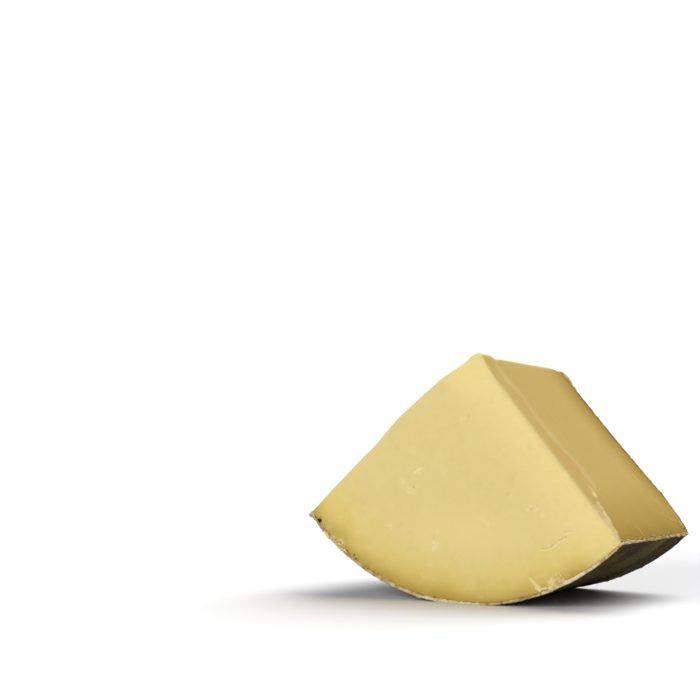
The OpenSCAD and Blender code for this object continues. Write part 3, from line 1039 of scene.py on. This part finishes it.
def crumb_material():
    """Crumbs of paste and of crust: pale cheese, going through larded brown to dark mould by how brown each
    is."""
    material, tree, shader = new_material("cheese_and_crust_crumbs", Roughness=0.8, IOR=1.45,
        Specular_IOR_Level=0.25)
    brown = node(tree, "ShaderNodeAttribute", out="Fac", attribute_name="brown")
    stops = [(0.0, "#EFDFA8"), (0.35, "#E3C684"), (0.6, "#C2924A"), (0.8, "#80602F"), (1.0, "#4A3A22")]
    tree.links.new(node(tree, "ShaderNodeValToRGB", {0: brown}, stops=stops), shader.inputs["Base Color"])
    where = node(tree, "ShaderNodeTexCoord", out="Object")
    grit = node(tree, "ShaderNodeTexNoise", {"Vector": where, "Scale": 1 / (0.4 * MM)})
    bumps(tree, shader, [(grit, 0.5, 0.15)])
    return material


def rind_material():
    """Cheesecloth larded onto the wheel and grown over by mould for a year: a dull brown crust with
    grey-olive and yellow blooms, rusty patches and pale specks, the weave showing through as fine ribs."""
    material, tree, shader = new_material("moulded_cheesecloth_rind", Roughness=0.92, IOR=1.45,
        Specular_IOR_Level=0.2)
    where = node(tree, "ShaderNodeTexCoord", out="Object")
    cloth = node(tree, "ShaderNodeUVMap", uv_map="cloth")
    field = {}
    for name, size, detail, roughness, shift in (
        ("olive", 45, 4.0, 0.6, (0, 0, 0)), ("rust", 32, 4.0, 0.6, (0.3, 0.7, 0.1)),
        ("bloom", 9, 4.0, 0.65, (0, 0, 0)),
        ("speck", 1.7, 3.0, 0.7, (0, 0, 0)), ("pit", 1.1, 2.0, 0.5, (0.9, 0.2, 0.5)),
    ):
        moved = node(tree, "ShaderNodeMapping", {"Vector": where, "Location": shift})
        inputs = {"Vector": moved, "Scale": 1 / (size * MM), "Detail": detail, "Roughness": roughness}
        field[name] = node(tree, "ShaderNodeTexNoise", inputs)
    stops = [(0.25, "#332817"), (0.5, "#544627"), (0.72, "#6F6037")]
    crust = node(tree, "ShaderNodeValToRGB", {0: field["bloom"]}, stops=stops)
    colour = lay_over(tree, crust, [
        (field["olive"], 0.48, 0.66, 0.65, "#8A8258"), (field["rust"], 0.56, 0.72, 0.55, "#754C28"),
        (field["rust"], 0.42, 0.28, 0.45, "#9C9156"), (field["speck"], 0.52, 0.68, 0.7, "#AEA480"),
        (field["pit"], 0.47, 0.33, 0.7, "#221A11"),
    ])
    end_face = node(tree, "ShaderNodeAttribute", out="Fac", attribute_name="end_face")
    # painted shade: the rind round the side, where the wedge lies, is darker and a little warmer than the end
    # face
    underside_shade = lay_over(tree, "#DCD2BE", [(end_face, 0, 1, 1, "#FFFFFF")])
    colour = node(tree, "ShaderNodeMix", {0: 1.0, 6: colour, 7: underside_shade}, 2, data_type="RGBA",
        blend_type="MULTIPLY")
    tree.links.new(colour, shader.inputs["Base Color"])
    ribbed = {"Vector": cloth, "Scale": math.pi / 10 / (0.9 * MM), "Distortion": 0.6}
    weave = [
        node(tree, "ShaderNodeTexWave", ribbed, "Fac", bands_direction=way)
        for way in ("X", "Y")
    ]
    ribs = node(tree, "ShaderNodeMath", {0: weave[0], 1: weave[1]}, operation="MAXIMUM")
    bumps(tree, shader, [(ribs, 0.35, 0.2), (field["speck"], 0.8, 0.6)])
    return material


def cloth_edge_material():
    """Cut cheesecloth soaked in lard: undyed cotton gone cream where it is fresh and brown where mould has
    reached it, crumbly and quite matt."""
    material, tree, shader = new_material("cut_larded_cheesecloth", Roughness=0.85, IOR=1.45,
        Specular_IOR_Level=0.25)
    where = node(tree, "ShaderNodeTexCoord", out="Object")
    pale = node(tree, "ShaderNodeAttribute", out="Fac", attribute_name="pale")
    mottle = node(tree, "ShaderNodeTexNoise",
        {"Vector": where, "Scale": 1 / (3 * MM), "Detail": 3.0, "Roughness": 0.6})
    speck = node(tree, "ShaderNodeTexNoise", {"Vector": where, "Scale": 1 / (0.9 * MM)})
    uneven = node(tree, "ShaderNodeMapRange", {0: mottle, 1: 0.3, 2: 0.7, 3: -0.35, 4: 0.35})
    amount = node(tree, "ShaderNodeMath", {0: pale, 1: uneven}, operation="ADD")
    stops = [(0.0, "#8A6C3C"), (0.3, "#B3985F"), (0.6, "#D3BF8C"), (1.0, "#EFE3BE")]
    colour = node(tree, "ShaderNodeValToRGB", {0: amount}, stops=stops)
    colour = lay_over(tree, colour, [(speck, 0.42, 0.28, 0.7, "#8A5F2E"),
        (speck, 0.60, 0.75, 0.5, "#F1E6C6")])
    tree.links.new(colour, shader.inputs["Base Color"])
    bumps(tree, shader, [(speck, 0.6, 0.3)])
    return material


def thread_material():
    """Undyed cotton thread with lard on it: cream, fuzzy and matt."""
    material, tree, shader = new_material("larded_cotton_thread", Roughness=0.9, IOR=1.47,
        Specular_IOR_Level=0.2)
    where = node(tree, "ShaderNodeTexCoord", out="Object")
    darkening = node(tree, "ShaderNodeTexNoise", {"Vector": where, "Scale": 1 / (6 * MM), "Detail": 2.0})
    colour = node(tree, "ShaderNodeValToRGB", {0: darkening},
        stops=[(0.3, "#C4AE7C"), (0.5, "#E6D9B2"), (0.7, "#F2EAD2")])
    tree.links.new(colour, shader.inputs["Base Color"])
    return material


# ---------------------------------------------------------------- stage, light and camera


def make_stage():
    """A wide plain white table, an even white surround and two broad soft lights, low from the front and
    high from behind. The eye sees the table and the surround nearly white, as in a studio with a blown-out
    floor, but on the wedge they throw only the light of plain card and a dim room."""
    material, tree, shader = new_material("white_table", Roughness=0.9, Specular_IOR_Level=0.0)
    seen = node(tree, "ShaderNodeLightPath", out="Is Camera Ray")
    card, bright = (TABLE_BOUNCE,) * 3 + (1,), (TABLE_SEEN, TABLE_SEEN, TABLE_BLUE * TABLE_SEEN, 1)
    colour = node(tree, "ShaderNodeMix", {0: seen, 6: card, 7: bright}, 2, data_type="RGBA")
    tree.links.new(colour, shader.inputs["Base Color"])
    mesh = bpy.data.meshes.new("floor")
    corners = [(x * TABLE_REACH, y * TABLE_REACH, 0) for x, y in ((-1, -1), (1, -1), (1, 1), (-1, 1))]
    mesh.from_pydata(corners, [], [(0, 1, 2, 3)])
    mesh.materials.append(material)
    floor = bpy.data.objects.new("floor", mesh)
    bpy.context.scene.collection.objects.link(floor)
    world = bpy.data.worlds.new("studio")
    bpy.context.scene.world = world
    world.use_nodes = True
    tree = world.node_tree
    tree.nodes.clear()
    soft = node(tree, "ShaderNodeBackground", {"Color": "#FFFFFF", "Strength": ROOM})
    bright = node(tree, "ShaderNodeBackground", {"Color": "#FFFFFF", "Strength": SURROUND_SEEN})
    seen = node(tree, "ShaderNodeLightPath", out="Is Camera Ray")
    both = node(tree, "ShaderNodeMixShader", {0: seen, 1: soft, 2: bright})
    tree.links.new(both, tree.nodes.new("ShaderNodeOutputWorld").inputs[0])
    for name, toward, strength, spread_deg in LIGHTS:
        light = bpy.data.lights.new(name, "SUN")
        light.energy, light.angle = strength, math.radians(spread_deg)
        lamp = bpy.data.objects.new(name, light)
        lamp.rotation_euler = (-Vector(toward)).to_track_quat("-Z", "Y").to_euler()
        bpy.context.scene.collection.objects.link(lamp)


def make_camera():
    """A long lens 2.7 m off, a little above the wedge, looking from its front right."""
    camera = bpy.data.cameras.new("camera")
    camera.lens, camera.sensor_width, camera.clip_end = CAMERA_LENS, 36.0, 100.0
    holder = bpy.data.objects.new("camera", camera)
    holder.location = CAMERA_PLACE
    holder.rotation_euler = Vector(CAMERA_LOOK).to_track_quat("-Z", "Y").to_euler()
    bpy.context.scene.collection.objects.link(holder)
    bpy.context.scene.camera = holder


bpy.context.scene.view_settings.view_transform = "Standard"
make_camera()
make_stage()
make_paste(paste_material())
make_rind(rind_material())
make_cloth_edge(cloth_edge_material())
make_flakes(flake_material())
make_crumbs(crumb_material())
make_threads(thread_material())
